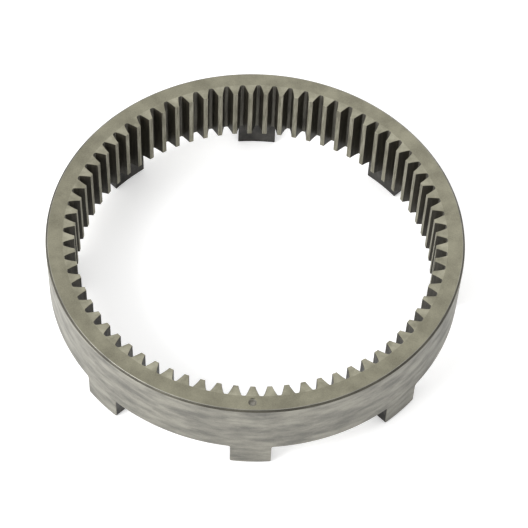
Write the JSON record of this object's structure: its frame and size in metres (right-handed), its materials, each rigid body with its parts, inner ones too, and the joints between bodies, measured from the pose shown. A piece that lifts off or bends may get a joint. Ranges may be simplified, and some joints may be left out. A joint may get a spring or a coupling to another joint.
{
  "type": "internal ring gear",
  "caption": "Internal spur ring gear with a plain cylindrical rim, drive lugs round its lower face and a timing dimple in its upper face.",
  "frame": {"origin": "on the ring's axis, in the plane of the lugs' feet", "axes": "+Z along the ring's axis, from the lugs to the plain toothed face; -Y towards the timing dimple, which marks a tooth and a lug in line"},
  "size_m": [0.16, 0.16, 0.036],
  "materials": {
    "steel": "as-ground and hobbed steel, matt upper face, satin outer wall, dark tooth flanks"
  },
  "bodies": {
    "root": {"ring_gear": "steel"}
  },
  "joints": []
}
